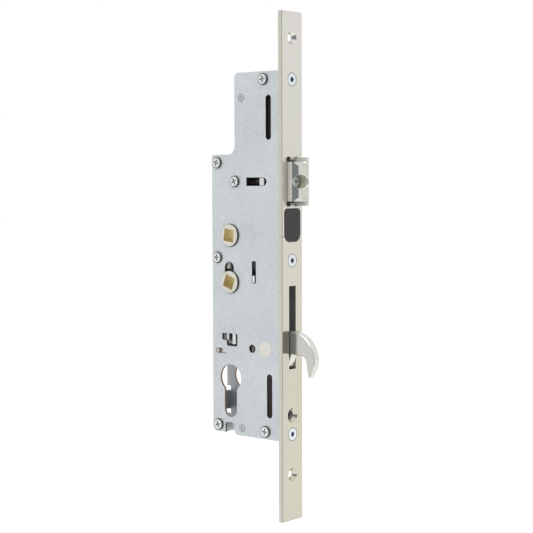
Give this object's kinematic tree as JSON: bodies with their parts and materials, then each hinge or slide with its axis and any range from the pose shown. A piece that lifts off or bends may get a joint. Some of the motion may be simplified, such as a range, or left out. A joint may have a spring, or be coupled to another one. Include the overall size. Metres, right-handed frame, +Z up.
{
  "type": "multipoint door lock",
  "caption": "Mortise centre case of a multipoint door lock: long flat faceplate, stepped steel case, sprung latch, swinging hook bolt, spindle followers and a cylinder hole.",
  "frame": {"origin": "middle of the round part of the cylinder hole, on its axis, half way between the two case sides", "axes": "+X out through the faceplate, -Y to the side of the case with the screws, +Z up the faceplate"},
  "size_m": [0.0801, 0.02, 0.319],
  "materials": {
    "case_steel": "zinc-plated sheet, soft satin",
    "faceplate_steel": "brushed along its length, satin",
    "screw_steel": "bright zinc plating",
    "post_steel": "turned, zinc-plated",
    "insert_plastic": "fine matt moulding",
    "plug_plastic": "plain light plug",
    "guide_plastic": "black moulded guide",
    "latch_zinc": "die-cast zinc, nickel-plated",
    "rod_steel": "zinc-plated",
    "spring_steel": "dark drawn wire",
    "follower_zinc": "die-cast, yellowish passivated",
    "slide_steel": "galvanised sheet",
    "hook_steel": "nickel-plated, smooth satin",
    "dark_steel": "dark phosphated"
  },
  "bodies": {
    "case": {"case_base": "case_steel", "case_cover": "case_steel", "case_flange": "case_steel", "case_tabs": "case_steel", "cover_plug": "plug_plastic", "bar_guide": "guide_plastic", "cover_posts": "post_steel", "cover_screws": "screw_steel", "dowel_rivets": "case_steel", "faceplate_upper": "faceplate_steel", "faceplate_lower": "faceplate_steel", "faceplate_screws": "screw_steel", "screw_blocks": "post_steel", "joint_insert": "insert_plastic", "hook_pivot_pin": "dark_steel", "lever_pivot_pin": "post_steel", "drive_guide_studs": "post_steel", "slide_stud": "post_steel", "plunger_guide": "post_steel", "plunger_spring": "spring_steel", "spring_plate": "post_steel", "latch_spring": "spring_steel"},
    "latch": {"latch_head": "latch_zinc", "latch_screw": "screw_steel", "latch_rod": "rod_steel"},
    "lever": {"latch_lever": "slide_steel"},
    "upper_hub": {"upper_follower": "follower_zinc"},
    "lower_hub": {"lower_follower": "follower_zinc"},
    "hook": {"hook": "hook_steel"},
    "drive": {"drive_slide": "dark_steel", "drive_pin": "post_steel"},
    "lock": {"lock_slide": "slide_steel", "slide_peg": "post_steel", "slide_pin": "post_steel"},
    "blocking": {"blocking_slide": "slide_steel"},
    "plunger": {"follower_plunger": "post_steel"}
  },
  "joints": [
    {"name": "latch_retract", "type": "slide", "parent": "case", "child": "latch", "axis": [-1, 0, 0], "range_m": [0, 0.01], "stiffness_N_per_m": 300, "springref_m": -0.01, "deforming": ["latch_spring"]},
    {"name": "lever_turn", "type": "hinge", "parent": "case", "child": "lever", "pos_m": [0.0264, 0, 0.092], "axis": [0, -1, 0], "range_deg": [0, 16.6]},
    {"name": "upper_follower_turn", "type": "hinge", "parent": "case", "child": "upper_hub", "pos_m": [0, 0, 0.092], "axis": [0, 1, 0], "range_deg": [0, 26]},
    {"name": "drive_lift", "type": "slide", "parent": "case", "child": "drive", "axis": [0, 0, 1], "range_m": [0, 0.02]},
    {"name": "hook_swing", "type": "hinge", "parent": "case", "child": "hook", "pos_m": [0.0183, 0, 0.0202], "axis": [0, -1, 0], "range_deg": [0, 80]},
    {"name": "lower_follower_turn", "type": "hinge", "parent": "case", "child": "lower_hub", "pos_m": [0, 0, 0.062], "axis": [0, -1, 0], "range_deg": [0, 45.3]},
    {"name": "lock_shift", "type": "slide", "parent": "case", "child": "lock", "axis": [1, 0, 0], "range_m": [0, 0.0065]},
    {"name": "blocking_lift", "type": "slide", "parent": "case", "child": "blocking", "axis": [0, 0, 1], "range_m": [0, 0.009]},
    {"name": "plunger_lift", "type": "slide", "parent": "case", "child": "plunger", "axis": [0, 0, 1], "range_m": [0, 0.0015], "stiffness_N_per_m": 600, "springref_m": -0.002, "deforming": ["plunger_spring"]}
  ],
  "couplings": [
    {"joint": "lever_turn", "follows": "latch_retract", "rad_per_m": 28.951},
    {"joint": "upper_follower_turn", "follows": "latch_retract", "rad_per_m": 45.378},
    {"joint": "hook_swing", "follows": "drive_lift", "rad_per_m": 69.813},
    {"joint": "lower_follower_turn", "follows": "drive_lift", "rad_per_m": 39.479},
    {"joint": "blocking_lift", "follows": "lock_shift", "ratio": 1.3846}
  ]
}
